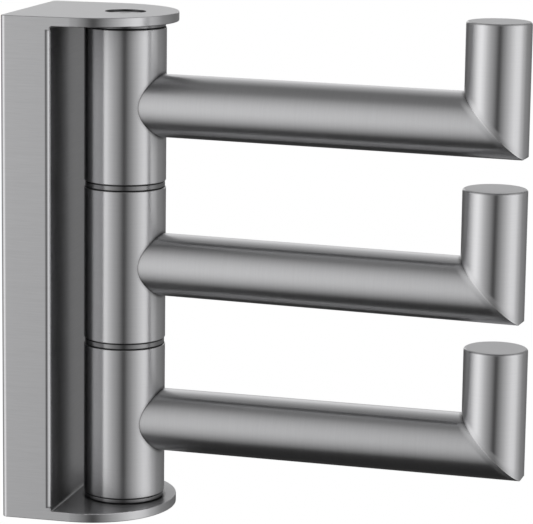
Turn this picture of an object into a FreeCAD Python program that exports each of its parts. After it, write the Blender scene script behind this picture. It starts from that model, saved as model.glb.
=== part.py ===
import FreeCAD, Part
import math
import os
import re
import Sketcher

# Folding wall hook: three arms that turn on one upright axle held in a bracket.
# Millimetres. The wall is the plane Y = 0 and the room lies towards -Y. +Z is up,
# and the origin is the middle of the face that lies against the wall.

# Driving sizes. Every size that can be set by itself is written once, here.
SIZES = (
    # Bracket: a column on the wall with a thin round-nosed plate at each end.
    ("bracket_width", 26.6),
    ("plate_thick", 1.5),
    ("plate_overhang", 1.75),
    ("column_depth", 8.1),
    ("back_edge_round", 0.85),
    ("column_edge_round", 0.8),
    ("mouth_corner_round", 0.5),
    ("plate_rim_round", 0.15),
    # Hollow in the back of the column, over the wall plate.
    ("column_front_wall", 2.0),
    ("column_side_wall", 2.0),
    ("cavity_roof", 3.0),
    ("cavity_floor", 4.0),
    ("cavity_corner_round", 1.0),
    # Axle and the countersunk screws that clamp it between the plates.
    ("axle_dia", 6.0),
    ("screw_dia", 3.0),
    ("screw_length", 9.0),
    ("screw_head_dia", 6.3),
    ("head_recess", 0.35),
    ("sink_rim", 0.25),
    ("screw_socket", 2.0),
    ("screw_socket_depth", 1.0),
    ("screw_tip_chamfer", 0.3),
    ("tap_spare_depth", 1.5),
    ("tap_mouth_chamfer", 0.3),
    ("thread_clearance", 0.05),
    # Barrels, and the washers above, between and below them.
    ("barrel_dia", 13.1),
    ("barrel_height", 24.5),
    ("barrel_gap", 1.65),
    ("barrel_edge_round", 0.2),
    ("bore_clearance", 0.05),
    ("washer_thick", 0.9),
    ("end_washer_thick", 0.75),
    ("washer_inset", 0.15),
    ("washer_edge_round", 0.2),
    ("face_gap", 0.05),
    # Arms: a round rod out from the barrel, mitred to a short round upright.
    ("arm_dia", 10.0),
    ("arm_reach", 60.8),
    ("elbow_round", 1.0),
    ("upright_clearance", 4.7),
    ("upright_edge_round", 0.4),
    ("turn_top", -6.0),
    ("turn_middle", -5.6),
    ("turn_bottom", -2.2),
    # Wall plate that the bracket hangs on, and the grub screw that locks it.
    ("wall_plate_thick", 2.0),
    ("wall_plate_bend", 0.5),
    ("wall_plate_clearance", 0.2),
    ("flange_corner_round", 1.0),
    ("wall_hole_dia", 4.5),
    ("wall_hole_spacing", 44.0),
    ("grub_dia", 3.0),
    ("grub_reach", 1.2),
    ("grub_recess", 0.2),
    ("grub_chamfer", 0.3),
    ("grub_socket", 1.5),
    ("grub_socket_depth", 1.5),
)

# Sizes that follow from the driving ones.
DERIVED = (
    ("axle_offset", "=column_depth + barrel_gap + barrel_dia / 2"),
    ("bracket_depth", "=axle_offset + barrel_dia / 2 + plate_overhang"),
    ("nose_centre", "=bracket_depth - bracket_width / 2"),
    ("pitch", "=barrel_height + washer_thick + 2 * face_gap"),
    ("end_washer_level", "=pitch + (barrel_height + end_washer_thick) / 2 + face_gap"),
    ("mouth_height", "=2 * end_washer_level + end_washer_thick + 2 * face_gap"),
    ("bracket_height", "=mouth_height + 2 * plate_thick"),
    ("cavity_depth", "=column_depth - column_front_wall"),
    ("cavity_width", "=bracket_width - 2 * column_side_wall"),
    ("cavity_top", "=bracket_height / 2 - cavity_roof"),
    ("cavity_bottom", "=cavity_floor - bracket_height / 2"),
    ("head_height", "=(screw_head_dia - screw_dia) / 2"),
    ("sink_radius", "=screw_head_dia / 2 + head_recess - sink_rim"),
    ("tap_radius", "=screw_dia / 2 + thread_clearance"),
    ("sink_depth", "=sink_rim + sink_radius - tap_radius"),
    ("head_in_axle", "=head_recess + head_height - plate_thick"),
    ("tap_mouth", "=max(tap_mouth_chamfer; head_in_axle + thread_clearance)"),
    ("tap_depth", "=screw_length + head_recess - plate_thick + tap_spare_depth"),
    ("washer_dia", "=barrel_dia - 2 * washer_inset"),
    ("bore_dia", "=axle_dia + 2 * bore_clearance"),
    ("arm_radius", "=arm_dia / 2"),
    ("upright_rise", "=pitch - arm_radius - upright_clearance"),
    ("wall_plate_side", "=cavity_corner_round + wall_plate_clearance"),
    ("wall_plate_width", "=cavity_width - 2 * wall_plate_side"),
    ("wall_plate_bottom", "=cavity_bottom + grub_reach"),
    ("flange_depth", "=cavity_depth - 2 * wall_plate_clearance"),
    ("grub_length", "=cavity_floor + grub_reach - grub_recess"),
    ("grub_offset", "=cavity_depth / 2"),
)

SHEET = "Sizes"
ALIASES = {name for name, _ in SIZES + DERIVED}
OVERCUT = "1"
HALF_ROOT_TWO = "sqrt(2) / 2"
DRILL_HALF_ANGLE = "59deg"
UP = FreeCAD.Vector(0, 0, 1)
RIGHT = FreeCAD.Vector(1, 0, 0)
NEAR = 1e-4

# Each hook, and each washer with its thickness, by name and level above mid-height.
HOOKS = (("top", "pitch"), ("middle", "0"), ("bottom", "-pitch"))
WASHERS = (("top", "end_washer_thick", "end_washer_level"),
           ("upper", "washer_thick", "pitch / 2"),
           ("lower", "washer_thick", "-pitch / 2"),
           ("bottom", "end_washer_thick", "-end_washer_level"))

doc = FreeCAD.newDocument("folding_wall_hook")
sizes = doc.addObject("Spreadsheet::Sheet", SHEET)
pieces = []


def fill_sheet():
    """Write the driving and then the derived sizes, one row each with its alias."""
    rows = [(name, str(size)) for name, size in SIZES]
    for row, (name, content) in enumerate(rows + list(DERIVED), start=1):
        sizes.set("A%d" % row, name)
        sizes.set("B%d" % row, content)
        sizes.setAlias("B%d" % row, name)
    doc.recompute()


def bound(formula):
    """The formula with every size name pointing at its cell in the sheet."""
    return re.sub(r"[a-z_]+", lambda word: point_at_cell(word[0]), formula)


def point_at_cell(word):
    """A size name as a reference to its cell, and any other word as it is."""
    return SHEET + "." + word if word in ALIASES else word


def value(formula):
    """The formula's present value."""
    return float(sizes.evalExpression(bound(formula)))


def new_body(label):
    """A body that becomes one piece of the hook."""
    body = doc.addObject("PartDesign::Body", label)
    body.Label = label
    pieces.append(body)
    return body


def place(body, y="0", z="0", turn="0", axis=UP):
    """Put a piece at the formulas' place, turned about its own origin."""
    base = FreeCAD.Vector(0, value(y), value(z))
    body.Placement = FreeCAD.Placement(base, FreeCAD.Rotation(axis, value(turn)))
    for path, formula in (("Base.y", y), ("Base.z", z), ("Rotation.Angle", turn)):
        if formula != "0":
            body.setExpression("Placement." + path, bound(formula))


def origin_item(body, role):
    """One of the body's own origin planes."""
    return next(item for item in body.Origin.OriginFeatures if item.Role == role)


def new_sketch(body, name, plane, shift="0"):
    """A sketch on one of the body's origin planes, shifted along the plane's normal."""
    sketch = body.newObject("Sketcher::SketchObject", name)
    sketch.AttachmentSupport = [(origin_item(body, plane), "")]
    sketch.MapMode = "FlatFace"
    if shift != "0":
        sketch.setExpression("AttachmentOffset.Base.z", bound(shift))
    return sketch


def dimension(sketch, kind, *target, formula):
    """A dimension of the sketch that follows the sheet."""
    index = sketch.addConstraint(Sketcher.Constraint(kind, *target, value(formula)))
    if formula != "0":
        sketch.setExpression("Constraints[%d]" % index, bound(formula))


def add_circle(sketch, diameter, x="0", y="0"):
    """A circle with its centre and diameter given by formulas."""
    centre = FreeCAD.Vector(value(x), value(y), 0)
    index = sketch.addGeometry(Part.Circle(centre, UP, value(diameter) / 2))
    dimension(sketch, "DistanceX", index, 3, formula=x)
    dimension(sketch, "DistanceY", index, 3, formula=y)
    dimension(sketch, "Diameter", index, formula=diameter)


def line_to(x, y):
    """A straight stretch of an outline, ending at (x, y)."""
    return x, y, None, 1


def arc_to(x, y, radius, side=1):
    """An arc of an outline, ending at (x, y). It bulges to the right of the way along
    the outline, or to the left with side -1."""
    return x, y, radius, side


def arc_between(start, end, radius, side):
    """The arc of under half a turn from start to end that bulges to that side."""
    chord = end - start
    across = FreeCAD.Vector(chord.y, -chord.x, 0).normalize() * side
    rise = radius - math.sqrt(radius ** 2 - (chord.Length / 2) ** 2)
    return Part.Arc(start, (start + end) / 2 + across * rise, end)


def add_outline(sketch, stretches):
    """A closed outline. Each stretch starts where the one before it ends."""
    points = [FreeCAD.Vector(value(x), value(y), 0) for x, y, _, _ in stretches]
    edges = []
    for index, (_, _, radius, side) in enumerate(stretches):
        start = points[index - 1]
        end = points[index]
        if radius is None:
            edge = sketch.addGeometry(Part.LineSegment(start, end))
        else:
            edge = sketch.addGeometry(arc_between(start, end, value(radius), side))
        edges.append((edge, 1, 2) if side > 0 else (edge, 2, 1))
    for index, (x, y, radius, _) in enumerate(stretches):
        edge, _, last = edges[index]
        following, first, _ = edges[(index + 1) % len(edges)]
        sketch.addConstraint(Sketcher.Constraint("Coincident", edge, last, following, first))
        dimension(sketch, "DistanceX", edge, last, formula=x)
        dimension(sketch, "DistanceY", edge, last, formula=y)
        if radius is not None:
            dimension(sketch, "Radius", edge, formula=radius)


def add_hexagon(sketch, across):
    """A hexagon round the sketch's origin, given by its width across flats."""
    corner = across + " / sqrt(3)"
    flat = across + " / 2"
    half_corner = corner + " / 2"
    add_outline(sketch, [
        line_to(corner, "0"),
        line_to(half_corner, flat),
        line_to("-" + half_corner, flat),
        line_to("-" + corner, "0"),
        line_to("-" + half_corner, "-" + flat),
        line_to(half_corner, "-" + flat),
    ])


def sweep_straight(body, kind, name, sketch, length, symmetric=False, reverse=False):
    """A pad or pocket of the sketch. No length means through everything."""
    feature = body.newObject("PartDesign::" + kind, name)
    feature.Profile = sketch
    feature.SideType = "Symmetric" if symmetric else "One side"
    feature.Reversed = reverse
    if length is None:
        feature.Type = "ThroughAll"
    else:
        feature.setExpression("Length", bound(length))
    return feature


def turn_round(body, kind, name, sketch):
    """A revolution or groove of the sketch about its own upright axis."""
    feature = body.newObject("PartDesign::" + kind, name)
    feature.Profile = sketch
    feature.ReferenceAxis = (sketch, ["V_Axis"])
    feature.Angle = 360
    return feature


def mirror(body, name, original, plane):
    """The same feature again on the other side of an origin plane."""
    feature = body.newObject("PartDesign::Mirrored", name)
    feature.Originals = [original]
    feature.MirrorPlane = (origin_item(body, plane), [""])
    body.Tip = feature


def soften(body, name, kind, size, wanted):
    """Round or chamfer the edges of the body that the test picks."""
    doc.recompute()
    base = body.Tip
    edges = ["Edge%d" % (i + 1) for i, edge in enumerate(base.Shape.Edges) if wanted(edge)]
    feature = body.newObject("PartDesign::" + kind, name)
    feature.Base = (base, edges)
    feature.setExpression("Radius" if kind == "Fillet" else "Size", bound(size))


def middle(edge):
    """The point halfway along an edge."""
    return edge.valueAt((edge.FirstParameter + edge.LastParameter) / 2)


def is_circle(edge, diameter):
    """Whether an edge is a full circle of that diameter."""
    curve = edge.Curve
    return isinstance(curve, Part.Circle) and abs(2 * curve.Radius - value(diameter)) < NEAR


def make_bracket():
    """Column and plates in one piece, open to the room between the plates and hollow
    at the back."""
    body = new_body("bracket")
    side = "bracket_width / 2"
    back = "back_edge_round"
    plan = new_sketch(body, "bracket_plan", "XY_Plane")
    add_outline(plan, [
        line_to(side, "-" + back),
        arc_to(side + " - " + back, "0", back),
        line_to("-" + side + " + " + back, "0"),
        arc_to("-" + side, "-" + back, back),
        line_to("-" + side, "-nose_centre"),
        arc_to("0", "-bracket_depth", side),
        arc_to(side, "-nose_centre", side),
    ])
    sweep_straight(body, "Pad", "bracket_block", plan, "bracket_height", symmetric=True)

    front = "-bracket_depth - " + OVERCUT
    reach = "mouth_height / 2"
    corner = "mouth_corner_round"
    mouth = new_sketch(body, "mouth_side", "YZ_Plane")
    add_outline(mouth, [
        line_to("-column_depth", reach + " - " + corner),
        arc_to("-column_depth - " + corner, reach, corner),
        line_to(front, reach),
        line_to(front, "-" + reach),
        line_to("-column_depth - " + corner, "-" + reach),
        arc_to("-column_depth", "-" + reach + " + " + corner, corner),
    ])
    sweep_straight(body, "Pocket", "mouth", mouth, None, symmetric=True)
    soften(body, "rim_round", "Fillet", "plate_rim_round", is_bracket_rim)

    edge = "column_edge_round"
    outside = side + " + " + OVERCUT
    strip = new_sketch(body, "column_edge_plan", "XY_Plane")
    add_outline(strip, [
        arc_to(side, "-column_depth + " + edge, edge),
        line_to(outside, "-column_depth + " + edge),
        line_to(outside, "-column_depth - " + OVERCUT),
        line_to(side + " - " + edge, "-column_depth - " + OVERCUT),
        line_to(side + " - " + edge, "-column_depth"),
    ])
    strip_length = "mouth_height - 2 * mouth_corner_round"
    rounded = sweep_straight(body, "Pocket", "column_edge", strip, strip_length, symmetric=True)
    mirror(body, "column_edge_pair", rounded, "YZ_Plane")

    cavity = new_sketch(body, "cavity_face", "XZ_Plane")
    add_rounded_box(cavity, "cavity_width / 2", "cavity_bottom", "cavity_top",
                    "cavity_corner_round")
    sweep_straight(body, "Pocket", "cavity", cavity, "cavity_depth", reverse=True)

    sink = new_sketch(body, "screw_sink_side", "XZ_Plane", "axle_offset")
    add_outline(sink, [
        line_to("0", "bracket_height / 2"),
        line_to("0", "mouth_height / 2 - sink_depth"),
        line_to("tap_radius", "mouth_height / 2 - sink_depth"),
        line_to("tap_radius", "bracket_height / 2 - sink_depth"),
        line_to("sink_radius", "bracket_height / 2 - sink_rim"),
        line_to("sink_radius", "bracket_height / 2"),
    ])
    doc.recompute()
    sunk = turn_round(body, "Groove", "screw_sink", sink)
    mirror(body, "screw_sink_pair", sunk, "XY_Plane")

    grub = new_sketch(body, "grub_hole_plan", "XY_Plane", "-bracket_height / 2")
    add_circle(grub, "grub_dia + 2 * thread_clearance", y="-grub_offset")
    sweep_straight(body, "Pocket", "grub_hole", grub, "grub_recess + grub_length", reverse=True)


def is_bracket_rim(edge):
    """Whether an edge runs round a plate's outer face or round the mouth."""
    point = middle(edge)
    on_outer_face = abs(abs(point.z) - value("bracket_height") / 2) < NEAR
    on_side = abs(abs(point.x) - value("bracket_width") / 2) < NEAR
    on_column_front = abs(point.y + value("column_depth")) < NEAR
    return on_outer_face or (on_side and on_column_front)


def add_rounded_box(sketch, half_width, bottom, top, radius):
    """A rectangle with round corners, the same distance to each side of the middle."""
    left = "-" + half_width
    add_outline(sketch, [
        line_to(half_width, top + " - " + radius),
        arc_to(half_width + " - " + radius, top, radius),
        line_to(left + " + " + radius, top),
        arc_to(left, top + " - " + radius, radius),
        line_to(left, bottom + " + " + radius),
        arc_to(left + " + " + radius, bottom, radius),
        line_to(half_width + " - " + radius, bottom),
        arc_to(half_width, bottom + " + " + radius, radius),
    ])


def make_wall_plate():
    """Bent sheet with two screw holes. Its upper flange carries the bracket's roof."""
    body = new_body("wall_plate")
    thick = "wall_plate_thick"
    inner = "wall_plate_bend"
    outer = "(wall_plate_bend + wall_plate_thick)"
    web = "-" + thick
    tip = "-flange_depth"
    section = new_sketch(body, "wall_plate_section", "YZ_Plane")
    add_outline(section, [
        line_to("0", "cavity_top - " + outer),
        arc_to("-" + outer, "cavity_top", outer),
        line_to(tip, "cavity_top"),
        line_to(tip, "cavity_top - " + thick),
        line_to("-" + outer, "cavity_top - " + thick),
        arc_to(web, "cavity_top - " + outer, inner, side=-1),
        line_to(web, "wall_plate_bottom + " + outer),
        arc_to("-" + outer, "wall_plate_bottom + " + thick, inner, side=-1),
        line_to(tip, "wall_plate_bottom + " + thick),
        line_to(tip, "wall_plate_bottom"),
        line_to("-" + outer, "wall_plate_bottom"),
        arc_to("0", "wall_plate_bottom + " + outer, outer),
    ])
    sweep_straight(body, "Pad", "bent_sheet", section, "wall_plate_width", symmetric=True)
    holes = new_sketch(body, "wall_hole_face", "XZ_Plane")
    add_circle(holes, "wall_hole_dia", y="wall_hole_spacing / 2")
    add_circle(holes, "wall_hole_dia", y="-wall_hole_spacing / 2")
    sweep_straight(body, "Pocket", "wall_holes", holes, None, reverse=True)
    soften(body, "flange_corners", "Fillet", "flange_corner_round", is_flange_corner)


def is_flange_corner(edge):
    """Whether an edge is an upright one at a flange's free corner."""
    point = middle(edge)
    at_tip = abs(point.y + value("flange_depth")) < NEAR
    at_side = abs(abs(point.x) - value("wall_plate_width") / 2) < NEAR
    return at_tip and at_side


def make_grub_screw():
    """Headless screw that comes up through the column's floor and pins the plate."""
    body = new_body("grub_screw")
    rod = new_sketch(body, "grub_plan", "XY_Plane")
    add_circle(rod, "grub_dia")
    sweep_straight(body, "Pad", "grub_rod", rod, "grub_length")
    soften(body, "grub_ends", "Chamfer", "grub_chamfer", lambda edge: is_circle(edge, "grub_dia"))
    socket = new_sketch(body, "grub_socket_plan", "XY_Plane")
    add_hexagon(socket, "grub_socket")
    sweep_straight(body, "Pocket", "grub_socket_cut", socket, "grub_socket_depth", reverse=True)
    place(body, y="-grub_offset", z="grub_recess - bracket_height / 2")


def make_axle_screw(label, turn, height):
    """Countersunk socket screw. Its own origin is the middle of its head's flat top."""
    body = new_body(label)
    side = new_sketch(body, label + "_side", "XZ_Plane")
    add_outline(side, [
        line_to("screw_head_dia / 2", "0"),
        line_to("0", "0"),
        line_to("0", "-screw_length"),
        line_to("screw_dia / 2 - screw_tip_chamfer", "-screw_length"),
        line_to("screw_dia / 2", "-screw_length + screw_tip_chamfer"),
        line_to("screw_dia / 2", "-head_height"),
    ])
    doc.recompute()
    turn_round(body, "Revolution", label + "_body", side)
    socket = new_sketch(body, label + "_socket_plan", "XY_Plane")
    add_hexagon(socket, "screw_socket")
    sweep_straight(body, "Pocket", label + "_socket", socket, "screw_socket_depth")
    place(body, y="-axle_offset", z=height, turn=turn, axis=RIGHT)


def make_axle():
    """Round rod clamped between the plates, tapped at both ends."""
    body = new_body("axle")
    plan = new_sketch(body, "axle_plan", "XY_Plane")
    add_circle(plan, "axle_dia")
    sweep_straight(body, "Pad", "axle_rod", plan, "mouth_height", symmetric=True)
    end = "mouth_height / 2"
    tap = new_sketch(body, "tapped_hole_side", "XZ_Plane")
    add_outline(tap, [
        line_to("0", end),
        line_to("0", end + " - tap_depth - tap_radius / tan(" + DRILL_HALF_ANGLE + ")"),
        line_to("tap_radius", end + " - tap_depth"),
        line_to("tap_radius", end + " - tap_mouth"),
        line_to("tap_radius + tap_mouth", end),
    ])
    doc.recompute()
    tapped = turn_round(body, "Groove", "tapped_hole", tap)
    mirror(body, "tapped_hole_pair", tapped, "XY_Plane")
    place(body, y="-axle_offset")


def make_ring(label, diameter, height, edge_round, level):
    """A ring round the axle, the same distance above and below its level."""
    body = new_body(label)
    plan = new_sketch(body, label + "_plan", "XY_Plane")
    add_circle(plan, diameter)
    add_circle(plan, "bore_dia")
    sweep_straight(body, "Pad", label + "_ring", plan, height, symmetric=True)
    soften(body, label + "_edges", "Fillet", edge_round, lambda edge: is_circle(edge, diameter))
    place(body, y="-axle_offset", z=level)


def add_elbow_cut(sketch, keeps_arm):
    """The material past the mitre that a rod loses at the elbow, with half of the
    rounded outer corner. The mitre runs from the inner corner down to the outer one."""
    outer = "-arm_reach - arm_radius"
    tip = "(arm_radius - elbow_round + elbow_round * " + HALF_ROOT_TWO + ")"
    tip_point = ("-arm_reach - " + tip, "-" + tip)
    beyond = outer + " - " + OVERCUT
    below = "-arm_radius - " + OVERCUT
    above = "arm_radius + " + OVERCUT
    inside = "-arm_reach + arm_radius + " + OVERCUT
    if keeps_arm:
        add_outline(sketch, [
            line_to(*tip_point),
            arc_to(outer + " + elbow_round", "-arm_radius", "elbow_round"),
            line_to(outer + " + elbow_round", below),
            line_to(beyond, below),
            line_to(beyond, above),
            line_to(inside, above),
        ])
    else:
        add_outline(sketch, [
            arc_to(*tip_point, "elbow_round"),
            line_to(inside, above),
            line_to(inside, below),
            line_to(beyond, below),
            line_to(beyond, "-arm_radius + elbow_round"),
            line_to(outer, "-arm_radius + elbow_round"),
        ])


def make_arm(name, level):
    """The rod that reaches out from a barrel. Its own origin is on the axle, level
    with the rod's middle, and it reaches towards -Y before it is turned."""
    body = new_body("arm_" + name)
    section = new_sketch(body, "arm_section_" + name, "XZ_Plane")
    add_circle(section, "arm_dia")
    sweep_straight(body, "Pad", "arm_rod_" + name, section, "arm_reach + arm_radius")
    saddle = new_sketch(body, "saddle_plan_" + name, "XY_Plane")
    add_circle(saddle, "barrel_dia")
    sweep_straight(body, "Pocket", "saddle_" + name, saddle, None, symmetric=True)
    elbow = new_sketch(body, "arm_mitre_side_" + name, "YZ_Plane")
    add_elbow_cut(elbow, keeps_arm=True)
    sweep_straight(body, "Pocket", "arm_mitre_" + name, elbow, None, symmetric=True)
    place_on_axle(body, name, level)


def make_upright(name, level):
    """The short upright at an arm's end, in the same frame as the arm."""
    body = new_body("upright_" + name)
    plan = new_sketch(body, "upright_plan_" + name, "XY_Plane", "-arm_radius")
    add_circle(plan, "arm_dia", y="-arm_reach")
    sweep_straight(body, "Pad", "upright_rod_" + name, plan, "arm_radius + upright_rise")
    soften(body, "upright_edge_" + name, "Fillet", "upright_edge_round", is_upright_top)
    elbow = new_sketch(body, "upright_mitre_side_" + name, "YZ_Plane")
    add_elbow_cut(elbow, keeps_arm=False)
    sweep_straight(body, "Pocket", "upright_mitre_" + name, elbow, None, symmetric=True)
    place_on_axle(body, name, level)


def is_upright_top(edge):
    """Whether an edge is the round one at the upright's free end."""
    return is_circle(edge, "arm_dia") and abs(middle(edge).z - value("upright_rise")) < NEAR


def place_on_axle(body, name, level):
    """Put an arm's piece at its barrel, turned as the hooks stand."""
    place(body, y="-axle_offset", z=level, turn="turn_" + name)


def check_and_export():
    """Write one file per piece, once every object and solid is sound."""
    doc.recompute()
    for item in doc.Objects:
        if "Invalid" in item.State or "Error" in item.State:
            raise RuntimeError("failed feature: " + item.Label)
    os.makedirs("parts", exist_ok=True)
    for body in pieces:
        shape = body.Shape
        if shape.isNull() or not shape.isValid() or len(shape.Solids) != 1:
            raise RuntimeError("unsound piece: " + body.Label)
        shape.exportStep("parts/%s.step" % body.Label)
        print("%-16s %10.2f mm3" % (body.Label, shape.Volume))


fill_sheet()
make_bracket()
make_wall_plate()
make_grub_screw()
make_axle()
make_axle_screw("top_screw", "0", "bracket_height / 2 - head_recess")
make_axle_screw("bottom_screw", "180", "head_recess - bracket_height / 2")
for washer, thickness, washer_level in WASHERS:
    make_ring(washer + "_washer", "washer_dia", thickness, "washer_edge_round", washer_level)
for hook, hook_level in HOOKS:
    make_ring("barrel_" + hook, "barrel_dia", "barrel_height", "barrel_edge_round", hook_level)
    make_arm(hook, hook_level)
    make_upright(hook, hook_level)
check_and_export()
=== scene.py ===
import math
import bmesh
import bpy
from mathutils import Matrix, Vector


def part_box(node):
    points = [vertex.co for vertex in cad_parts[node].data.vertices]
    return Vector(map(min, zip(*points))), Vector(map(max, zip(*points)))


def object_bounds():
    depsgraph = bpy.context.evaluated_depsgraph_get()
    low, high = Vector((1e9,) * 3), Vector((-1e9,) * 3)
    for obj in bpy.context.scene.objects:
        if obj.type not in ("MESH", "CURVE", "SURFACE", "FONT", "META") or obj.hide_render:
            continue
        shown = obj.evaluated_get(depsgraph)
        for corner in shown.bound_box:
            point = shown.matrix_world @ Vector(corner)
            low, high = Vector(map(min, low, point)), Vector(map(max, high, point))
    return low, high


# Folding wall hook in brushed steel: its finishes, the studio and the camera.
# Metres. The wall is the plane Y = 0, the room lies towards -Y and +Z is up.

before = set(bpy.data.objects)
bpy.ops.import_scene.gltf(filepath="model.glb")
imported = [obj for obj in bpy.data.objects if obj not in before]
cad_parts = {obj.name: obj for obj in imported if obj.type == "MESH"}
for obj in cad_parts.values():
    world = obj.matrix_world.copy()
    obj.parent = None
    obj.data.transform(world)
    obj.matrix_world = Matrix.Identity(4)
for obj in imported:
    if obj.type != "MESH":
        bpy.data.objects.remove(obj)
cad_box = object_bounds()

MM = 0.001
UP = (0.0, 0.0, 1.0)
TO_WALL = (0.0, 1.0, 0.0)
ALONG_WALL = (1.0, 0.0, 0.0)
WITHOUT_HEIGHT = (1.0, 1.0, 0.0)

# The photograph, and the camera that took it: where it stands, which way it looks
# (0 looks along +X, more turns towards +Y), how far down and how much it leans.
IMAGE_WIDTH = 533
SENSOR_WIDTH = 36.0
FOCAL_PIXELS = 2675.9
CAMERA_PLACE = Vector((-0.40402, -0.13903, 0.08003))
CAMERA_HEADING = math.radians(13.810)
CAMERA_TILT = math.radians(-10.726)
CAMERA_LEAN = math.radians(0.782)
NEAREST_SEEN = 0.01

STEEL_TONE = (0.60, 0.60, 0.61)
CUT_END_TONE = (0.52, 0.52, 0.53)
WASHER_TONE = (0.32, 0.32, 0.325)
STEEL_ROUGHNESS = 0.32
STEEL_ANISOTROPY = 0.9

# The brushing is a mix of three kinds of lines. Each has a width, a length and its share
# of the grain, and LINE_CONTRAST is the two noise values that it is darkest and lightest
# at. The grain makes the steel lighter and darker by the streaks, and more and less rough
# by the swing.
FINE_LINES = (0.07 * MM, 5 * MM)
COARSE_LINES = (0.22 * MM, 4 * MM)
BROAD_LINES = (1.2 * MM, 30 * MM)
FINE_SHARE = 0.35
COARSE_SHARE = 0.45
BROAD_SHARE = 0.2
LINE_DETAIL = 2.0
LINE_ROUGHNESS = 0.6
LINE_CONTRAST = (0.3, 0.7)
TURNED_STREAKS = 0.04
BRUSHED_STREAKS = 0.07
ROUGHNESS_SWING = 0.03
GRAIN_DEPTH = 0.01 * MM
GRAIN_STRENGTH = 0.15

# A painted highlight along sharp outer edges, which are also made smoother. It is full where
# the rounded edge's normal agrees with the true one as little as the first of its agreement
# pair, and none from the second up. It is none where the edge is as closed in as the first of
# its openness pair, and full at the second.
EDGE_HIGHLIGHT_SAMPLES = 4
EDGE_HIGHLIGHT_WIDTH = 0.2 * MM
EDGE_HIGHLIGHT_AGREEMENT = (0.85, 0.99)
EDGE_HIGHLIGHT_OPENNESS = (0.8, 1.0)
EDGE_HIGHLIGHT_GAIN = 1.15
EDGE_HIGHLIGHT_ROUGHNESS = 0.75

# Painted shade in inner corners, between parts and in sheltered places: the steel's colour
# is made darker there. Each openness is how open a place is, 0 to 1, where it is at its
# darkest and where it is as light as elsewhere. The darkest corner and the darkest shade are
# the share of its tone that the steel keeps there, and the mouth's and the barrels' painted
# shade is how far they go towards the darkest.
SHELTER_SAMPLES = 4
CORNER_REACH = 0.6 * MM
CORNER_OPENNESS = (0.6, 0.97)
DARKEST_CORNER = 0.3
DARKEST_SHADE = 0.3
MOUTH_REACH = 12 * MM
MOUTH_OPENNESS = (0.45, 0.95)
MOUTH_SHADE = 0.6
BARREL_OPENNESS = (0.45, 0.75)
BARREL_SHADE = 0.5
SEAM_WIDTH = 0.15 * MM
SINK_RADIUS = 3.25 * MM
HOLE_EDGE = 0.05 * MM

# The mitres are polished near their line, on the sides of the rods: not at all where a
# face looks sideways as little as the first of POLISHED_SIDES, and fully at the second.
POLISH_WIDTH = 0.9 * MM
POLISH_SHARE = 0.6
POLISHED_SIDES = (0.5, 0.9)

# How squarely a face looks along an axis, 0 to 1. From END_FACING up it is the end of a
# turned piece, from LEVEL_FACING up it is level, and the painted shade of level faces sets in
# between the two of SHADED_FACING.
END_FACING = 0.9
LEVEL_FACING = 0.7
SHADED_FACING = (0.1, 0.5)

# The studio. Angles are in degrees. A side angle is 0 towards the camera and grows to
# its right, and a height angle is above the level of the hook's middle.
ROOM_LIGHT = 0.6
FLOOR_HEIGHT = -1.6
FLOOR_WIDTH = 8.0
FLOOR_TONE = 0.8

# The tent: its wall's tone by side angle, and its tones overhead and underfoot, which the
# wall falls to with the square of the height angle's sine. Between the two sines of
# HORIZON, underfoot turns into overhead.
TENT_RADIUS = 1.5
TENT_SEGMENTS = 72
TENT_RINGS = 36
TENT_WALL = ((-180, 0.05), (-150, 0.14), (-113, 0.36), (-92, 0.92), (-80, 1.40), (-66, 1.62),
             (-52, 1.27), (-40, 0.88), (-26, 0.60), (-14, 0.39), (-6, 0.17), (0, 0.04),
             (6, 0.18), (15, 0.42), (32, 0.75), (46, 1.07), (60, 1.33), (76, 1.30),
             (94, 0.72), (112, 0.37), (150, 0.22), (180, 0.05))
CEILING_TONE = 0.22
GROUND_TONE = 0.03
CEILING_FALL = 1.3
GROUND_FALL = 1.45
HORIZON = (-0.1, 0.1)

# The pale card high at the tent's back, in shares of the tent's radius: full up to the
# first and gone at the second, from the back forward and from the middle sideways.
CARD_TONE = 0.78
CARD_FORWARD = (-0.9, 0.0)
CARD_SIDEWAYS = (0.25, 0.45)

# The opening lies beyond this side angle to the left and right, between two heights.
OPENING_SIDE = 160
OPENING_LOW = 3
OPENING_HIGH = 33

# Each lamp's name, side and height angles, width and height in metres, and brightness.
LAMP_DISTANCE = 0.26
LAMPS = (("left_lamp", -66, 5, 0.19, 0.27, 1.25),
         ("right_lamp", 72, -3, 0.27, 0.24, 1.00))

HOOKS = ("top", "middle", "bottom")
WASHERS = ("top_washer", "upper_washer", "lower_washer", "bottom_washer")

# A Mix node has two inputs and an output for each kind of value.
MIX_SOCKETS = {"FLOAT": (2, 3, 0), "VECTOR": (4, 5, 1)}


def middle_of(node):
    """The middle of a CAD node's box."""
    low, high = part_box(node)
    return (Vector(low) + Vector(high)) / 2


def new_material(name):
    """A material and its node tree, which is empty."""
    material = bpy.data.materials.new(name)
    material.use_nodes = True
    material.node_tree.nodes.clear()
    return material, material.node_tree


def feed(tree, socket, source):
    """Link a node's output to a socket, or set the socket to a plain value."""
    if isinstance(source, bpy.types.NodeSocket):
        tree.links.new(source, socket)
    else:
        socket.default_value = source


def math_node(tree, operation, first, second=0.0):
    """A Math node. Each input is a number or another node's output."""
    node = tree.nodes.new("ShaderNodeMath")
    node.operation = operation
    feed(tree, node.inputs[0], first)
    feed(tree, node.inputs[1], second)
    return node.outputs[0]


def vector_node(tree, operation, first, second=(0.0, 0.0, 0.0)):
    """A Vector Math node. Each input is a vector or another node's output."""
    node = tree.nodes.new("ShaderNodeVectorMath")
    node.operation = operation
    feed(tree, node.inputs[0], first)
    feed(tree, node.inputs[1], second)
    return node.outputs["Value" if operation in ("DOT_PRODUCT", "LENGTH") else "Vector"]


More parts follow.
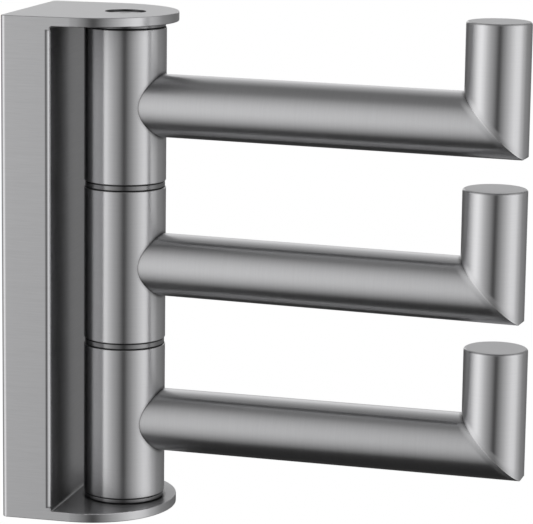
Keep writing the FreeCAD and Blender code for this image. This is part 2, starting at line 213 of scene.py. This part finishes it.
def scale(tree, vector, factor):
    """A vector or a colour times a number."""
    node = tree.nodes.new("ShaderNodeVectorMath")
    node.operation = "SCALE"
    feed(tree, node.inputs[0], vector)
    feed(tree, node.inputs["Scale"], factor)
    return node.outputs["Vector"]


def blend(tree, factor, first, second, kind="VECTOR"):
    """First where the factor is 0 and second where it is 1."""
    node = tree.nodes.new("ShaderNodeMix")
    node.data_type = kind
    at_none, at_full, result = MIX_SOCKETS[kind]
    feed(tree, node.inputs[0], factor)
    feed(tree, node.inputs[at_none], first)
    feed(tree, node.inputs[at_full], second)
    return node.outputs[result]


def spread(tree, source, low, high, first=0.0, last=1.0):
    """Low where the source is first or less, high where it is last or more, and evenly
    between them."""
    node = tree.nodes.new("ShaderNodeMapRange")
    feed(tree, node.inputs["Value"], source)
    feed(tree, node.inputs["From Min"], first)
    feed(tree, node.inputs["From Max"], last)
    feed(tree, node.inputs["To Min"], low)
    feed(tree, node.inputs["To Max"], high)
    return node.outputs["Result"]


def to_world(tree, source, kind):
    """A vector or normal of the piece, turned as the piece itself is."""
    turn = tree.nodes.new("ShaderNodeVectorTransform")
    turn.vector_type = kind
    turn.convert_from = "OBJECT"
    turn.convert_to = "WORLD"
    feed(tree, turn.inputs[0], source)
    return turn.outputs[0]


def add_lines(tree, place, across, lines):
    """Noise drawn out into lines, 0 to 1: it changes quickly with across, slowly with place."""
    width, length = lines
    noise = tree.nodes.new("ShaderNodeTexNoise")
    noise.noise_dimensions = "4D"
    noise.inputs["Scale"].default_value = 1.0
    noise.inputs["Detail"].default_value = LINE_DETAIL
    noise.inputs["Roughness"].default_value = LINE_ROUGHNESS
    feed(tree, noise.inputs["Vector"], scale(tree, place, 1 / length))
    feed(tree, noise.inputs["W"], math_node(tree, "MULTIPLY", across, 1 / width))
    return spread(tree, noise.outputs["Fac"], 0.0, 1.0, *LINE_CONTRAST)


def openness(tree, reach, same_piece):
    """1 where nothing stands within reach in front of the surface, and less where it does."""
    shelter = tree.nodes.new("ShaderNodeAmbientOcclusion")
    shelter.samples = SHELTER_SAMPLES
    shelter.only_local = same_piece
    shelter.inputs["Distance"].default_value = reach
    return shelter.outputs["AO"]


def edge_highlight(tree):
    """1 on a sharp outer edge, where the steel gets a painted highlight, and 0 elsewhere."""
    bevel = tree.nodes.new("ShaderNodeBevel")
    bevel.samples = EDGE_HIGHLIGHT_SAMPLES
    bevel.inputs["Radius"].default_value = EDGE_HIGHLIGHT_WIDTH
    normal = tree.nodes.new("ShaderNodeNewGeometry").outputs["Normal"]
    alike = vector_node(tree, "DOT_PRODUCT", bevel.outputs[0], normal)
    edge = spread(tree, alike, 1.0, 0.0, *EDGE_HIGHLIGHT_AGREEMENT)
    outside = spread(tree, openness(tree, 2 * EDGE_HIGHLIGHT_WIDTH, True), 0.0, 1.0, *EDGE_HIGHLIGHT_OPENNESS)
    return math_node(tree, "MULTIPLY", edge, outside)


def finish_steel(tree, brushing, place, across, streaks, colour, shade=None, polish=None):
    """Steel with a grain that runs along the brushing direction. Brushing leaves the
    normals spread across its lines, so that is the way the highlights are drawn out.
    It is darkest with painted shade where the shade is 1. Polish is how far the steel is
    polished into the piece beyond a mitre, 0 to 1, and the way that the mitre's plane faces:
    the more it is, the more its highlights are drawn out across that plane, and its normals lie
    in it."""
    fine = add_lines(tree, place, across, FINE_LINES)
    coarse = add_lines(tree, place, across, COARSE_LINES)
    broad = add_lines(tree, place, across, BROAD_LINES)
    relief = math_node(tree, "ADD", math_node(tree, "MULTIPLY", fine, FINE_SHARE),
                       math_node(tree, "MULTIPLY", coarse, COARSE_SHARE))
    grain = math_node(tree, "ADD", relief, math_node(tree, "MULTIPLY", broad, BROAD_SHARE))
    bright_edge = edge_highlight(tree)

    colour = scale(tree, colour, spread(tree, grain, 1.0 - streaks, 1.0 + streaks))
    # Painted highlight: sharp outer edges are made lighter.
    colour = scale(tree, colour, spread(tree, bright_edge, 1.0, EDGE_HIGHLIGHT_GAIN))
    # Painted shade, darkest where the shade is 1.
    if shade is not None:
        colour = scale(tree, colour, spread(tree, shade, 1.0, DARKEST_SHADE))
    # Painted shade in inner corners and in the gaps between parts.
    corner = openness(tree, CORNER_REACH, False)
    colour = scale(tree, colour, spread(tree, corner, DARKEST_CORNER, 1.0, *CORNER_OPENNESS))
    rough = spread(tree, grain, STEEL_ROUGHNESS - ROUGHNESS_SWING,
                   STEEL_ROUGHNESS + ROUGHNESS_SWING)
    rough = math_node(tree, "MULTIPLY", rough, spread(tree, bright_edge, 1.0, EDGE_HIGHLIGHT_ROUGHNESS))

    bump = tree.nodes.new("ShaderNodeBump")
    bump.inputs["Strength"].default_value = GRAIN_STRENGTH
    bump.inputs["Distance"].default_value = GRAIN_DEPTH
    feed(tree, bump.inputs["Height"], relief)

    normal = tree.nodes.new("ShaderNodeTexCoord").outputs["Normal"]
    drawn_out = vector_node(tree, "CROSS_PRODUCT", normal, brushing)
    if polish is not None:
        share, mitre = polish
        drawn_out = blend(tree, share, drawn_out, mitre)
        lean = math_node(tree, "MULTIPLY", vector_node(tree, "DOT_PRODUCT", normal, mitre), share)
        leaning = vector_node(tree, "SUBTRACT", normal, scale(tree, mitre, lean))
        smooth = vector_node(tree, "NORMALIZE", leaning)
        feed(tree, bump.inputs["Normal"], to_world(tree, smooth, "NORMAL"))

    shader = tree.nodes.new("ShaderNodeBsdfPrincipled")
    shader.inputs["Metallic"].default_value = 1.0
    shader.inputs["Anisotropic"].default_value = STEEL_ANISOTROPY
    feed(tree, shader.inputs["Base Color"], colour)
    feed(tree, shader.inputs["Roughness"], rough)
    feed(tree, shader.inputs["Normal"], bump.outputs["Normal"])
    feed(tree, shader.inputs["Tangent"], to_world(tree, drawn_out, "VECTOR"))
    out = tree.nodes.new("ShaderNodeOutputMaterial")
    feed(tree, out.inputs["Surface"], shader.outputs["BSDF"])


def near_upright_axis(tree, place, radius, edge):
    """1 up to a radius round the upright axis through place's zero, and 0 beyond its edge."""
    apart = vector_node(tree, "LENGTH", vector_node(tree, "MULTIPLY", place, WITHOUT_HEIGHT))
    return spread(tree, apart, 1.0, 0.0, radius, radius + edge)


def polished_mitre(tree, axis, corner, mitre):
    """How far a rod along an axis is polished near its mitre, and the way that the
    mitre's plane faces. Corner is the middle of the mitre."""
    coordinates = tree.nodes.new("ShaderNodeTexCoord")
    from_corner = vector_node(tree, "SUBTRACT", coordinates.outputs["Object"], corner)
    depth = math_node(tree, "ABSOLUTE", vector_node(tree, "DOT_PRODUCT", from_corner, mitre))
    near = spread(tree, depth, POLISH_SHARE, 0.0, 0.0, POLISH_WIDTH)
    sideways = mitre.cross(Vector(axis)).normalized()
    facing = vector_node(tree, "DOT_PRODUCT", coordinates.outputs["Normal"], sideways)
    on_side = spread(tree, math_node(tree, "ABSOLUTE", facing), 0.0, 1.0, *POLISHED_SIDES)
    return math_node(tree, "MULTIPLY", near, on_side), mitre


def round_steel(name, axis, centre, tone=STEEL_TONE, end_tone=CUT_END_TONE,
                faces_column=False, seam_radius=None, elbow=None):
    """Steel brushed round and round an axis, as on a lathe, with ends that are brushed
    straight. A barrel gets painted shade where the column that it faces shelters it. An arm
    gets a thin line of painted shade along the seam where it meets the barrel of a radius
    round its centre. Elbow is the middle of a polished mitre and the way that its plane faces."""
    material, tree = new_material(name)
    coordinates = tree.nodes.new("ShaderNodeTexCoord")
    place = vector_node(tree, "SUBTRACT", coordinates.outputs["Object"], centre)
    along = vector_node(tree, "DOT_PRODUCT", place, axis)
    outward = vector_node(tree, "SUBTRACT", place, scale(tree, axis, along))
    facing = vector_node(tree, "DOT_PRODUCT", coordinates.outputs["Normal"], axis)
    on_end = math_node(tree, "GREATER_THAN", math_node(tree, "ABSOLUTE", facing), END_FACING)
    sideways = vector_node(tree, "DOT_PRODUCT", place, ALONG_WALL)
    across = blend(tree, on_end, along, sideways, "FLOAT")
    round_about = vector_node(tree, "CROSS_PRODUCT", axis, outward)
    straight = vector_node(tree, "CROSS_PRODUCT", axis, ALONG_WALL)
    brushing = blend(tree, on_end, round_about, straight)
    colour = blend(tree, on_end, tone, end_tone)
    shade = None
    # Painted shade on the side of a barrel that faces the column.
    if faces_column:
        shade = spread(tree, openness(tree, MOUTH_REACH, False), BARREL_SHADE, 0.0,
                       *BARREL_OPENNESS)
    # Painted shade: a thin dark line along the arm's seam with the barrel.
    if seam_radius is not None:
        shade = near_upright_axis(tree, place, seam_radius, SEAM_WIDTH)
    polish = polished_mitre(tree, axis, *elbow) if elbow is not None else None
    finish_steel(tree, brushing, place, across, TURNED_STREAKS, colour, shade, polish)
    return material


def straight_steel(name, sunk_round=None):
    """Steel brushed level on its upright faces and along Y on its level ones, which get painted
    shade where they are closed in. The screw seats round an upright axis are dark with painted
    shade as well."""
    material, tree = new_material(name)
    coordinates = tree.nodes.new("ShaderNodeTexCoord")
    place = coordinates.outputs["Object"]
    normal = coordinates.outputs["Normal"]
    parts = tree.nodes.new("ShaderNodeSeparateXYZ")
    feed(tree, parts.inputs[0], place)
    facing = math_node(tree, "ABSOLUTE", vector_node(tree, "DOT_PRODUCT", normal, UP))
    level = math_node(tree, "GREATER_THAN", facing, LEVEL_FACING)
    across = blend(tree, level, parts.outputs["Z"], parts.outputs["X"], "FLOAT")
    sideways = vector_node(tree, "CROSS_PRODUCT", UP, normal)
    brushing = blend(tree, level, sideways, TO_WALL)
    # Painted shade on level faces that are closed in, such as those inside the mouth.
    closed_in = spread(tree, openness(tree, MOUTH_REACH, False), MOUTH_SHADE, 0.0,
                       *MOUTH_OPENNESS)
    flat = spread(tree, facing, 0.0, 1.0, *SHADED_FACING)
    shade = math_node(tree, "MULTIPLY", flat, closed_in)
    # Painted shade in the screw seat.
    if sunk_round is not None:
        from_axis = vector_node(tree, "SUBTRACT", place, sunk_round)
        sunk = near_upright_axis(tree, from_axis, SINK_RADIUS, HOLE_EDGE)
        shade = math_node(tree, "MAXIMUM", shade, sunk)
    finish_steel(tree, brushing, place, across, BRUSHED_STREAKS, STEEL_TONE, shade)
    return material


def dress(node, material):
    """Give a CAD node one material all over."""
    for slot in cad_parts[node].material_slots:
        slot.material = material


def dress_hook():
    """Finish every node."""
    axle = middle_of("axle")
    dress("bracket", straight_steel("bracket_steel", sunk_round=axle))
    dress("wall_plate", straight_steel("wall_plate_steel"))
    axle_steel = round_steel("axle_steel", UP, axle, end_tone=STEEL_TONE)
    for node in ("axle", "top_screw", "bottom_screw"):
        dress(node, axle_steel)
    dress("grub_screw", round_steel("grub_steel", UP, middle_of("grub_screw")))
    washer_steel = round_steel("washer_steel", UP, axle, tone=WASHER_TONE, end_tone=WASHER_TONE)
    for node in WASHERS:
        dress(node, washer_steel)
    barrel_low, barrel_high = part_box("barrel_top")
    barrel_radius = (barrel_high[0] - barrel_low[0]) / 2
    for hook in HOOKS:
        barrel_steel = round_steel("barrel_steel_" + hook, UP, axle, faces_column=True)
        dress("barrel_" + hook, barrel_steel)
        upright = middle_of("upright_" + hook)
        start = Vector((axle.x, axle.y, middle_of("barrel_" + hook).z))
        corner = Vector((upright.x, upright.y, start.z))
        reach = (corner - start).normalized()
        elbow = (corner, (reach + Vector(UP)).normalized())
        dress("upright_" + hook, round_steel("upright_steel_" + hook, UP, upright, elbow=elbow))
        dress("arm_" + hook, round_steel("arm_steel_" + hook, reach, start,
                                         seam_radius=barrel_radius, elbow=elbow))


def add_camera():
    """The camera at the photograph's place and angle."""
    forward = Vector((math.cos(CAMERA_HEADING) * math.cos(CAMERA_TILT),
                      math.sin(CAMERA_HEADING) * math.cos(CAMERA_TILT),
                      math.sin(CAMERA_TILT)))
    right = forward.cross(Vector(UP)).normalized()
    up = right.cross(forward)
    leaning_right = right * math.cos(CAMERA_LEAN) + up * math.sin(CAMERA_LEAN)
    leaning_up = up * math.cos(CAMERA_LEAN) - right * math.sin(CAMERA_LEAN)
    camera = bpy.data.objects.new("camera", bpy.data.cameras.new("camera"))
    camera.data.sensor_fit = "HORIZONTAL"
    camera.data.sensor_width = SENSOR_WIDTH
    camera.data.lens = FOCAL_PIXELS / IMAGE_WIDTH * SENSOR_WIDTH
    camera.data.clip_start = NEAREST_SEEN
    turn = Matrix((leaning_right, leaning_up, -forward)).transposed().to_4x4()
    camera.matrix_world = Matrix.Translation(CAMERA_PLACE) @ turn
    bpy.context.scene.collection.objects.link(camera)
    bpy.context.scene.camera = camera


def seen_or_mirrored(tree):
    """1 for rays from the camera, from a mirror-like surface or through glass."""
    path = tree.nodes.new("ShaderNodeLightPath")
    seen = math_node(tree, "MAXIMUM", path.outputs["Is Camera Ray"], path.outputs["Is Glossy Ray"])
    return math_node(tree, "MAXIMUM", seen, path.outputs["Is Transmission Ray"])


def add_world():
    """Even soft light, and plain white where the background is seen."""
    world = bpy.data.worlds.new("studio")
    bpy.context.scene.world = world
    world.use_nodes = True
    tree = world.node_tree
    tree.nodes.clear()
    background = tree.nodes.new("ShaderNodeBackground")
    background.inputs["Color"].default_value = (1.0, 1.0, 1.0, 1.0)
    strength = spread(tree, seen_or_mirrored(tree), ROOM_LIGHT, 1.0)
    feed(tree, background.inputs["Strength"], strength)
    out = tree.nodes.new("ShaderNodeOutputWorld")
    feed(tree, out.inputs["Surface"], background.outputs[0])


def add_floor():
    """A plain pale floor that keeps the hook's shadow and looks as white as the world."""
    bpy.ops.mesh.primitive_plane_add(size=FLOOR_WIDTH, location=(0.0, 0.0, FLOOR_HEIGHT))
    floor = bpy.context.object
    floor.name = "floor"
    material, tree = new_material("floor_paint")
    paint = tree.nodes.new("ShaderNodeBsdfDiffuse")
    paint.inputs["Color"].default_value = (FLOOR_TONE, FLOOR_TONE, FLOOR_TONE, 1.0)
    glow = tree.nodes.new("ShaderNodeEmission")
    missing = 1.0 - FLOOR_TONE * ROOM_LIGHT
    strength = math_node(tree, "MULTIPLY", seen_or_mirrored(tree), missing)
    feed(tree, glow.inputs["Strength"], strength)
    both = tree.nodes.new("ShaderNodeAddShader")
    feed(tree, both.inputs[0], paint.outputs[0])
    feed(tree, both.inputs[1], glow.outputs[0])
    out = tree.nodes.new("ShaderNodeOutputMaterial")
    feed(tree, out.inputs["Surface"], both.outputs[0])
    floor.data.materials.append(material)


def add_ramp(tree, source, stops):
    """A tone that follows a 0 to 1 value through stops of (value, tone)."""
    ramp = tree.nodes.new("ShaderNodeValToRGB")
    elements = ramp.color_ramp.elements
    while len(elements) < len(stops):
        elements.new(0.5)
    ramp.color_ramp.interpolation = "EASE"
    for element, (position, tone) in zip(elements, stops):
        element.position = position
        element.color = (tone, tone, tone, 1.0)
    feed(tree, ramp.inputs[0], source)
    return ramp.outputs[0]


def tent_glow(tree):
    """How brightly the tent glows at each place."""
    parts = tree.nodes.new("ShaderNodeSeparateXYZ")
    place = tree.nodes.new("ShaderNodeTexCoord").outputs["Object"]
    feed(tree, parts.inputs[0], scale(tree, place, 1 / TENT_RADIUS))
    forward, sideways, height = parts.outputs
    round_about = math_node(tree, "ARCTAN2", sideways, forward)
    side = spread(tree, round_about, 0.0, 1.0, -math.pi, math.pi)
    wall = add_ramp(tree, side, [(0.5 + angle / 360, tone) for angle, tone in TENT_WALL])
    above = spread(tree, height, 0.0, 1.0, *HORIZON)
    cap = blend(tree, above, GROUND_TONE, CEILING_TONE, "FLOAT")
    fall = math_node(tree, "MULTIPLY", math_node(tree, "MULTIPLY", height, height),
                     spread(tree, above, GROUND_FALL, CEILING_FALL))
    cloth = blend(tree, fall, wall, cap, "FLOAT")
    at_back = spread(tree, forward, CARD_TONE, 0.0, *CARD_FORWARD)
    in_middle = spread(tree, math_node(tree, "ABSOLUTE", sideways), 1.0, 0.0, *CARD_SIDEWAYS)
    card = math_node(tree, "MULTIPLY", math_node(tree, "MULTIPLY", at_back, in_middle), above)
    return math_node(tree, "MAXIMUM", cloth, card)


def add_tent(middle):
    """Grey cloth round the hook, seen only in its steel. It is bright at the sides, and
    dark behind the camera and below. At the back it has a pale card, for the steel's
    level faces, and an opening, through which the steel shows the white background."""
    bpy.ops.mesh.primitive_uv_sphere_add(segments=TENT_SEGMENTS, ring_count=TENT_RINGS,
                                         radius=TENT_RADIUS, location=middle)
    tent = bpy.context.object
    tent.name = "tent"
    tent.rotation_euler.z = CAMERA_HEADING + math.pi
    shell = bmesh.new()
    shell.from_mesh(tent.data)
    opening = [face for face in shell.faces if in_opening(face.calc_center_median())]
    bmesh.ops.delete(shell, geom=opening, context="FACES")
    shell.to_mesh(tent.data)
    shell.free()

    material, tree = new_material("tent_cloth")
    glow = tree.nodes.new("ShaderNodeEmission")
    feed(tree, glow.inputs["Strength"], tent_glow(tree))
    out = tree.nodes.new("ShaderNodeOutputMaterial")
    feed(tree, out.inputs["Surface"], glow.outputs[0])
    tent.data.materials.append(material)
    only_mirrored(tent)


def in_opening(point):
    """Whether a point of the tent lies in its opening behind the hook."""
    side = abs(math.degrees(math.atan2(point.y, point.x)))
    height = math.degrees(math.asin(point.z / point.length))
    return side > OPENING_SIDE and OPENING_LOW < height < OPENING_HIGH


def only_mirrored(thing):
    """Leave a thing out of everything but mirror-like reflections."""
    thing.visible_camera = False
    thing.visible_diffuse = False
    thing.visible_transmission = False
    thing.visible_shadow = False


def add_lamp(name, middle, side, height, width, tall, brightness):
    """A soft rectangular lamp at an angle from the camera and above the hook's middle,
    facing it. Its brightness is that of its face, where white paint would be 1."""
    turn = CAMERA_HEADING + math.pi + math.radians(side)
    rise = math.radians(height)
    away = Vector((math.cos(turn) * math.cos(rise), math.sin(turn) * math.cos(rise), math.sin(rise)))
    light = bpy.data.lights.new(name, "AREA")
    light.shape = "RECTANGLE"
    light.size = width
    light.size_y = tall
    light.energy = brightness * math.pi * width * tall
    lamp = bpy.data.objects.new(name, light)
    lamp.location = middle + away * LAMP_DISTANCE
    lamp.rotation_mode = "QUATERNION"
    lamp.rotation_quaternion = (-away).to_track_quat("-Z", "Y")
    lamp.visible_camera = False
    lamp.visible_glossy = False
    bpy.context.scene.collection.objects.link(lamp)


def add_studio():
    """The world, the floor, the tent and the lamps."""
    low, high = cad_box
    middle = (Vector(low) + Vector(high)) / 2
    add_world()
    add_floor()
    add_tent(middle)
    for name, *setting in LAMPS:
        add_lamp(name, middle, *setting)


dress_hook()
add_camera()
add_studio()
bpy.context.scene.view_settings.view_transform = "Standard"
